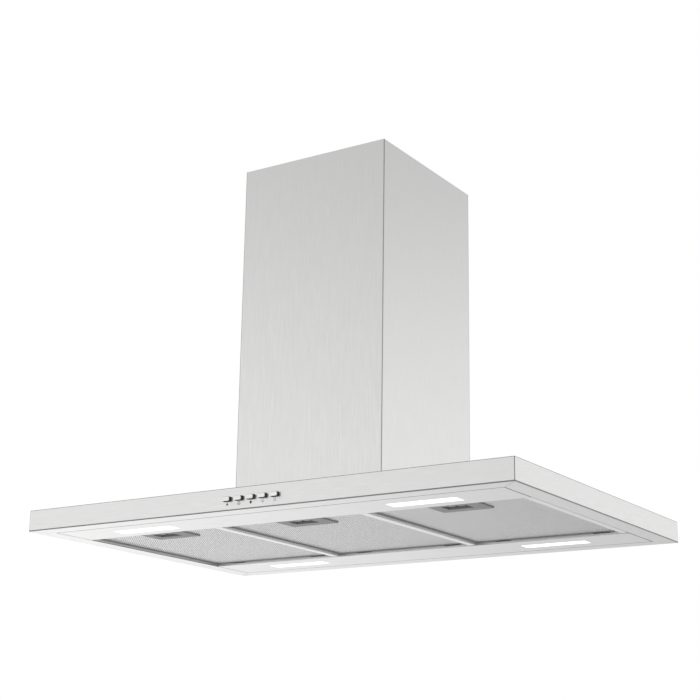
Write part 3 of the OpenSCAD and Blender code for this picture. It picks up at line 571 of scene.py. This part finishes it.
# %% Lamp material
lit, lit_tree, lit_shader = principled("lit_diffuser")
glow = noise(lit_tree, object_vector(lit_tree), 60.0, 1.0)
tint(lit_tree, glow, (0.90, 0.90, 0.88), (0.96, 0.96, 0.95), lit_shader)
glow_mix = add(lit_tree, "ShaderNodeMix", data_type="RGBA")
link(lit_tree, spread(lit_tree, glow, 0, 1), glow_mix.inputs["Factor"])
glow_mix.inputs["A"].default_value = (0.96, 0.97, 1.0, 1)
glow_mix.inputs["B"].default_value = (1.0, 1.0, 1.0, 1)
link(lit_tree, glow_mix.outputs["Result"], lit_shader.inputs["Emission Color"])
lit_shader.inputs["Emission Strength"].default_value = 1.15
lit_shader.inputs["Roughness"].default_value = 0.4

# %% Give every node its finish
FINISHES = {
    "canopy_top": steel_x, "front_panel": steel_x, "rear_panel": steel_x,
    "left_end_panel": steel_y, "right_end_panel": steel_y,
    "front_light_strip": steel_x, "rear_light_strip": steel_x,
    "chimney": steel_z, "upper_chimney": steel_z,
    "filter_frame": frame_alu, "filter_mesh": aluminium,
    "latch_plate": latch_grey, "latch_slider": slider_grey, "latch_spring": plated,
    "lamp_lens": lit, "lamp_housing": housing_grey, "led_boards": white_board,
    "control_box": black, "switch_housing": black, "switch_board": green_board,
    "button": black, "junction_box": black, "cable_gland": black,
    "motor_shaft": plated, "flap_pin": plated, "frame_bolts": plated,
    "motor_bracket": zinc, "motor": motor_paint, "flap": flap_grey,
}


def finish_for(name):
    """The finish whose key is the longest start of the node's name, or zinc."""
    keys = [key for key in FINISHES if name.startswith(key)]
    return FINISHES[max(keys, key=len)] if keys else zinc


for name, node in nodes.items():
    node.data.materials.clear()
    node.data.materials.append(finish_for(name))
print("finished", len(nodes), "nodes")

# %% [markdown]
# ## Expanded mesh
# A grease filter is a pack of aluminium sheets that were slit and pulled open into diamonds.
# The front sheet could be a texture with alpha, but real strands catch the light and hide
# each other at a slant, so they are modelled. Geometry Nodes put a small cross of two strands
# on every point of a grid. The crosses meet at their ends and make the diamonds. A flat knot
# sits where two strands cross, and each layer lies a hair above the last, so that no two
# faces share a plane.

# %% Mesh pack material
WEAVE_SCALE = 330.0


def woven(name, strands, gap_shade):
    """Layers of fine mesh painted as a net of light strands, with painted shade in the openings between
    them.
    """
    material, tree, shader = principled(name)
    shader.inputs["Metallic"].default_value = 0.9
    weave = add(tree, "ShaderNodeTexVoronoi", feature="DISTANCE_TO_EDGE")
    weave.inputs["Scale"].default_value = WEAVE_SCALE
    link(tree, object_vector(tree), weave.inputs["Vector"])
    tint(tree, weave.outputs["Distance"], strands, gap_shade, shader, (0.05, 0.25))
    shader.inputs["Roughness"].default_value = 0.55
    return material


# Painted shade: the inner layers are painted far darker than the front strands, and darker still
# between their strands, for the shade deep inside the pack; the back face is painted the same way.
pack_inside = woven("inner_mesh_layers", (0.30, 0.30, 0.30), (0.10, 0.10, 0.10))
pack_back = woven("back_mesh_layer", (0.85, 0.85, 0.85), (0.30, 0.30, 0.30))


# %% Lattice tree
LAYER_STEP = 0.03 * MM
KNOT_WIDE = 1.7    # in strand widths
KNOT_LONG = 0.62   # in pitches


def lattice_tree(strand_material):
    """Geometry Nodes: crosses of two strands on a grid, joined to the incoming pack."""
    tree = bpy.data.node_groups.new("expanded_mesh", "GeometryNodeTree")
    face = tree.interface
    face.new_socket("Geometry", in_out="INPUT", socket_type="NodeSocketGeometry")
    for label in ("Width", "Length", "Pitch", "Strand", "Thickness", "Notch Width", "Notch End"):
        face.new_socket(label, in_out="INPUT", socket_type="NodeSocketFloat")
    face.new_socket("Middle", in_out="INPUT", socket_type="NodeSocketVector")
    face.new_socket("Geometry", in_out="OUTPUT", socket_type="NodeSocketGeometry")
    given = add(tree, "NodeGroupInput").outputs
    result = add(tree, "NodeGroupOutput")

    def math_node(operation, a, b=None):
        return node_math(tree, operation, a, b)

    grid = add(tree, "GeometryNodeMeshGrid")
    for side, size in (("X", "Width"), ("Y", "Length")):
        count = math_node("ROUND", math_node("DIVIDE", given[size], given["Pitch"]))
        link(tree, count, grid.inputs["Vertices " + side])
        link(tree, math_node("SUBTRACT", given[size], given["Pitch"]), grid.inputs["Size " + side])
    moved = add(tree, "GeometryNodeTransform")
    link(tree, grid.outputs["Mesh"], moved.inputs["Geometry"])
    link(tree, given["Middle"], moved.inputs["Translation"])

    here = add(tree, "ShaderNodeSeparateXYZ")
    link(tree, add(tree, "GeometryNodeInputPosition").outputs[0], here.inputs[0])
    middle = add(tree, "ShaderNodeSeparateXYZ")
    link(tree, given["Middle"], middle.inputs[0])
    across = math_node("ABSOLUTE", math_node("SUBTRACT", here.outputs["X"], middle.outputs["X"]))
    beside = math_node("LESS_THAN", across, math_node("DIVIDE", given["Notch Width"], 2.0))
    before = math_node("LESS_THAN", here.outputs["Y"], given["Notch End"])
    cut = add(tree, "GeometryNodeDeleteGeometry", domain="POINT")
    link(tree, moved.outputs["Geometry"], cut.inputs["Geometry"])
    link(tree, math_node("MULTIPLY", beside, before), cut.inputs["Selection"])

    size = add(tree, "ShaderNodeCombineXYZ")
    link(tree, math_node("MULTIPLY", given["Pitch"], math.sqrt(2)), size.inputs["X"])
    link(tree, given["Strand"], size.inputs["Y"])
    link(tree, given["Thickness"], size.inputs["Z"])
    strand = add(tree, "GeometryNodeMeshCube")
    link(tree, size.outputs[0], strand.inputs["Size"])
    knot_size = add(tree, "ShaderNodeCombineXYZ")
    link(tree, math_node("MULTIPLY", given["Strand"], KNOT_WIDE), knot_size.inputs["X"])
    link(tree, math_node("MULTIPLY", given["Pitch"], KNOT_LONG), knot_size.inputs["Y"])
    link(tree, given["Thickness"], knot_size.inputs["Z"])
    knot = add(tree, "GeometryNodeMeshCube")
    link(tree, knot_size.outputs[0], knot.inputs["Size"])
    cross = add(tree, "GeometryNodeJoinGeometry")
    link(tree, knot.outputs["Mesh"], cross.inputs[0])
    for quarter in (1, 3):
        turned = add(tree, "GeometryNodeTransform")
        turned.inputs["Rotation"].default_value = (0, 0, quarter * math.pi / 4)
        turned.inputs["Translation"].default_value = (0, 0, quarter * LAYER_STEP)
        link(tree, strand.outputs["Mesh"], turned.inputs["Geometry"])
        link(tree, turned.outputs["Geometry"], cross.inputs[0])

    placed = add(tree, "GeometryNodeInstanceOnPoints")
    link(tree, cut.outputs["Geometry"], placed.inputs["Points"])
    link(tree, cross.outputs[0], placed.inputs["Instance"])
    solid = add(tree, "GeometryNodeRealizeInstances")
    link(tree, placed.outputs["Instances"], solid.inputs["Geometry"])
    painted = add(tree, "GeometryNodeSetMaterial")
    painted.inputs["Material"].default_value = strand_material
    link(tree, solid.outputs["Geometry"], painted.inputs["Geometry"])
    both = add(tree, "GeometryNodeJoinGeometry")
    link(tree, given["Geometry"], both.inputs[0])
    link(tree, painted.outputs["Geometry"], both.inputs[0])
    link(tree, both.outputs[0], result.inputs[0])
    return tree


# %% Run a tree and keep its mesh
def grown(base, tree, values):
    """Runs a tree on base with named values and returns base with the plain result."""
    modifier = base.modifiers.new("grow", "NODES")
    modifier.node_group = tree
    for item in tree.interface.items_tree:
        if item.in_out == "INPUT" and item.name in values:
            modifier[item.identifier] = values[item.name]
    bpy.context.view_layer.update()
    seen = base.evaluated_get(bpy.context.evaluated_depsgraph_get())
    mesh = bpy.data.meshes.new_from_object(seen)
    base.modifiers.remove(modifier)
    base.data = mesh
    return base


# %% Build the three filter packs
PITCH_MM, STRAND_MM, STRAND_DEEP_MM = 4.8, 1.15, 0.1
BEHIND_STRANDS = 0.25 * MM   # the solid pack starts this far behind the strands' front
MESH_EDGE = 1 * MM           # strands stop this much short of the pack, both sides together
PLATE_OVERLAP = 8 * MM       # the latch plate reaches this far past the notch on each side
NOTCH_CLEAR = 2.5 * MM       # the notch ends this far beyond the latch plate
lattice = lattice_tree(aluminium)


def slab(outline, z0, z1):
    """Points and faces of an outline raised from z0 to z1, facing outwards."""
    n = len(outline)
    points = [(x, y, z) for z in (z0, z1) for x, y in outline]
    sides = [(i, (i + 1) % n, n + (i + 1) % n, n + i) for i in range(n)]
    return points, [tuple(range(n - 1, -1, -1)), tuple(range(n, 2 * n))] + sides


for side in ("left", "middle", "right"):
    lo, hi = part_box("filter_mesh_" + side)
    plate_lo, plate_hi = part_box("latch_plate_" + side)
    middle_x = (lo.x + hi.x) / 2
    notch = (plate_hi.x - plate_lo.x) / 2 - PLATE_OVERLAP
    notch_end = plate_hi.y + NOTCH_CLEAR
    outline = [
        (lo.x, lo.y), (middle_x - notch, lo.y), (middle_x - notch, notch_end),
        (middle_x + notch, notch_end), (middle_x + notch, lo.y), (hi.x, lo.y),
        (hi.x, hi.y), (lo.x, hi.y)]
    points, faces = slab(outline, lo.z + BEHIND_STRANDS, hi.z)
    pack = mesh_object("mesh_pack_" + side, points, faces, [pack_inside, pack_back])
    pack.data.polygons[1].material_index = 1
    grown(pack, lattice, {
        "Width": hi.x - lo.x - MESH_EDGE, "Length": hi.y - lo.y - MESH_EDGE,
        "Pitch": PITCH_MM * MM, "Strand": STRAND_MM * MM, "Thickness": STRAND_DEEP_MM * MM,
        "Notch Width": 2 * notch + PITCH_MM * MM, "Notch End": notch_end + PITCH_MM / 2 * MM,
        "Middle": (middle_x, (lo.y + hi.y) / 2, lo.z + STRAND_DEEP_MM / 2 * MM)})
    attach(pack, "filter_" + side)
    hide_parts("filter_mesh_" + side)
    print(pack.name, "has", len(pack.data.polygons), "faces")

# %% [markdown]
# ## Latch springs
# A wave spring of flat strip pushes each latch's bolt outwards, and shortens as the bolt is
# drawn back. The zigzag is built again here as a piece of its own, fixed to its filter.

# %% Build the latch springs
SPRING_FOLDS = 6
SPRING_T = 0.5 * MM
for side in ("left", "middle", "right"):
    lo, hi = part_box("latch_spring_" + side)
    xs = [lo.x + k * (hi.x - lo.x) / SPRING_FOLDS for k in range(SPRING_FOLDS + 1)]
    ys = [lo.y if k % 2 else hi.y - SPRING_T for k in range(SPRING_FOLDS + 1)]
    near = list(zip(xs, ys))
    far = [(x, y + SPRING_T) for x, y in reversed(near)]
    points, faces = slab(near + far, lo.z, hi.z)
    spring = mesh_object("wave_spring_" + side, points, faces, [plated])
    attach(spring, "filter_" + side)
    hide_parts("latch_spring_" + side)
    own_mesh(spring)

# %% [markdown]
# ## Push buttons
# Each button is a black body with a bright cap set on its front. A cube with a Bevel modifier
# would come close, but lofting one rounded outline through a list of depths gives the collar
# behind the panel, the black side and the crowned bright face in one closed piece.

# %% Button materials
cap_metal = brushed_steel("button_cap", ALONG_X, (0.72, 0.72, 0.72), (0.86, 0.86, 0.86), (0.16, 0.26))


# %% Loft helper
def rounded_outline(w, h, r, steps=6):
    """Points of a rectangle with round corners, anticlockwise from the right side."""
    out = []
    for k, (sx, sy) in enumerate(((1, 1), (-1, 1), (-1, -1), (1, -1))):
        for s in range(steps + 1):
            a = math.pi / 2 * (k + s / steps)
            out.append((sx * (w / 2 - r) + r * math.cos(a), sy * (h / 2 - r) + r * math.sin(a)))
    return out


def face_outwards(made):
    """Turns every face of a closed mesh object outwards."""
    work = bmesh.new()
    work.from_mesh(made.data)
    bmesh.ops.recalc_face_normals(work, faces=work.faces)
    work.to_mesh(made.data)
    work.free()


def loft_along_y(name, centre, rings, materials, metal_from):
    """Joins rings of (width, height, radius, y) from back to front, closed at both ends."""
    loops = [[(centre.x + x, y, centre.z + z) for x, z in rounded_outline(w, h, r)]
             for w, h, r, y in rings]
    points, faces, slots = [p for loop in loops for p in loop], [], []
    n = len(loops[0])
    for k in range(len(rings) - 1):
        for i in range(n):
            j = (i + 1) % n
            faces.append((k * n + i, (k + 1) * n + i, (k + 1) * n + j, k * n + j))
            slots.append(1 if k >= metal_from else 0)
    faces.append(tuple(range(n)))
    slots.append(0)
    last = (len(rings) - 1) * n
    faces.append(tuple(range(last + n - 1, last - 1, -1)))
    slots.append(1)
    made = mesh_object(name, points, faces, materials)
    for polygon, slot in zip(made.data.polygons, slots):
        polygon.material_index = slot
    face_outwards(made)
    return made


# %% Build the five buttons
COLLAR = 2 * MM
COLLAR_T = 1.5 * MM
CORNER = 1.5 * MM
COLLAR_BACK = 1.3 * MM   # the collar's front lies this far behind the panel's front
# The bright cap from back to front: how much narrower than the body, and how far back, in mm.
CAP_STEPS = ((0.3, 1.2), (0.3, 0.5), (0.7, 0.12))
panel_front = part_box("front_panel")[0].y
for number in range(1, 6):
    lo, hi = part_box("button_%d" % number)
    centre = (lo + hi) / 2
    w, h = hi.x - lo.x - 2 * COLLAR, hi.z - lo.z - 2 * COLLAR
    stop = panel_front + COLLAR_BACK
    front = lo.y
    rings = [
        (w, h, CORNER, hi.y), (w, h, CORNER, stop + COLLAR_T),
        (w + 2 * COLLAR, h + 2 * COLLAR, CORNER, stop + COLLAR_T),
        (w + 2 * COLLAR, h + 2 * COLLAR, CORNER, stop), (w, h, CORNER, stop),
        (w, h, CORNER, front + 1.3 * MM)]
    rings += [(w - cut * MM, h - cut * MM, CORNER, front + back * MM) for cut, back in CAP_STEPS]
    rings.append((w - 1.6 * MM, h - 1.6 * MM, CORNER * 0.7, front))
    cap = loft_along_y("push_button_%d_cap" % number, centre, rings, [black, cap_metal], 6)
    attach(cap, "push_button_%d" % number)
    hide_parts("button_%d" % number)
print("buttons stand out", round((panel_front - lo.y) / MM, 1), "mm")

# %% [markdown]
# ## Printed marks
# A small plain mark under each button tells them apart: a triangle, a ring with a dot, a full
# and an open diamond, and a square. Each is a flat polygon or ring, a twentieth of a
# millimetre thick like screen ink, so one function with a number of sides draws them all.

# %% Marks
ink = moulded("printed_ink", (0.02, 0.02, 0.02), (0.05, 0.05, 0.05))
MARK_R = 2.7 * MM
MARK_Z = 10.0 * MM
INK = 0.05 * MM


def ring_mark(x, z, sides, outer, inner, start):
    """Points and faces of one flat mark on the front panel: a ring, or full if inner is 0."""
    angles = [start + k * 2 * math.pi / sides for k in range(sides)]
    layers = [(outer, panel_front + INK / 10), (outer, panel_front - INK)]
    if inner:
        layers += [(inner, panel_front - INK), (inner, panel_front + INK / 10)]
    points = [(x + r * math.cos(a), y, z + r * math.sin(a)) for r, y in layers for a in angles]
    faces = []
    for k in range(len(layers) if inner else 1):
        for i in range(sides):
            j = (i + 1) % sides
            a, b = k * sides, ((k + 1) % len(layers)) * sides
            faces.append((a + i, b + i, b + j, a + j))
    if not inner:
        faces += [tuple(range(sides)), tuple(range(2 * sides - 1, sides - 1, -1))]
    return points, faces


# Each mark's rings: sides, outer and inner radius as shares of MARK_R, first corner's angle.
MARKS = [
    [(3, 1.0, 0.0, math.pi / 2)], [(32, 1.0, 0.78, 0.0), (24, 0.3, 0.0, 0.0)],
    [(4, 1.0, 0.0, 0.0)], [(4, 1.0, 0.72, 0.0)], [(4, 1.0, 0.74, math.pi / 4)]]
all_points, all_faces = [], []
for number, rings in enumerate(MARKS, 1):
    lo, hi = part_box("button_%d" % number)
    for sides, outer, inner, start in rings:
        points, faces = ring_mark(
            (lo.x + hi.x) / 2, MARK_Z, sides, outer * MARK_R, inner * MARK_R, start)
        all_faces += [tuple(len(all_points) + i for i in f) for f in faces]
        all_points += points
marks = mesh_object("printed_marks", all_points, all_faces, [ink])
face_outwards(marks)
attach(marks, "canopy")

# %% [markdown]
# ## Blower screws
# Each side of the blower is screwed to the scroll with a ring of small pan-head screws, and the
# ring on the front side is placed here. They could be placed one by one, but a circle of points
# with one instance each is shorter, and a change of their number is one value.

# %% Screw tree
def screw_tree(material):
    """Geometry Nodes: screw heads on a circle that stands across Y."""
    tree = bpy.data.node_groups.new("screw_ring", "GeometryNodeTree")
    face = tree.interface
    face.new_socket("Geometry", in_out="INPUT", socket_type="NodeSocketGeometry")
    face.new_socket("Count", in_out="INPUT", socket_type="NodeSocketInt")
    for label in ("Ring Radius", "Head Radius", "Head Height"):
        face.new_socket(label, in_out="INPUT", socket_type="NodeSocketFloat")
    face.new_socket("Centre", in_out="INPUT", socket_type="NodeSocketVector")
    face.new_socket("Geometry", in_out="OUTPUT", socket_type="NodeSocketGeometry")
    given = add(tree, "NodeGroupInput").outputs
    result = add(tree, "NodeGroupOutput")
    circle = add(tree, "GeometryNodeMeshCircle")
    link(tree, given["Count"], circle.inputs["Vertices"])
    link(tree, given["Ring Radius"], circle.inputs["Radius"])
    head = add(tree, "GeometryNodeMeshCone")
    head.inputs["Vertices"].default_value = 16
    link(tree, given["Head Radius"], head.inputs["Radius Bottom"])
    link(tree, given["Head Height"], head.inputs["Depth"])
    top = node_math(tree, "MULTIPLY", given["Head Radius"], 0.7)
    link(tree, top, head.inputs["Radius Top"])
    placed = add(tree, "GeometryNodeInstanceOnPoints")
    link(tree, circle.outputs[0], placed.inputs["Points"])
    link(tree, head.outputs["Mesh"], placed.inputs["Instance"])
    stood = add(tree, "GeometryNodeTransform")
    stood.inputs["Rotation"].default_value = (math.pi / 2, 0, 0)
    link(tree, placed.outputs["Instances"], stood.inputs["Geometry"])
    link(tree, given["Centre"], stood.inputs["Translation"])
    solid = add(tree, "GeometryNodeRealizeInstances")
    link(tree, stood.outputs["Geometry"], solid.inputs["Geometry"])
    painted = add(tree, "GeometryNodeSetMaterial")
    painted.inputs["Material"].default_value = material
    link(tree, solid.outputs["Geometry"], painted.inputs["Geometry"])
    link(tree, painted.outputs["Geometry"], result.inputs[0])
    return tree


# %% Build the blower screws
INLET_RING = 3 * MM   # the inlet's ring stands out this much in front of the side's sheet
shaft_lo, shaft_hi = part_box("motor_shaft")
axis = (shaft_lo + shaft_hi) / 2
front_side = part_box("blower_side_front")[0].y + INLET_RING
screws = mesh_object("blower_screws", [(0, 0, 0)], [], [])
grown(screws, screw_tree(plated), {
    "Count": 10, "Ring Radius": 92 * MM, "Head Radius": 3 * MM, "Head Height": 1.6 * MM,
    "Centre": (axis.x, front_side, axis.z)})
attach(screws, "canopy")
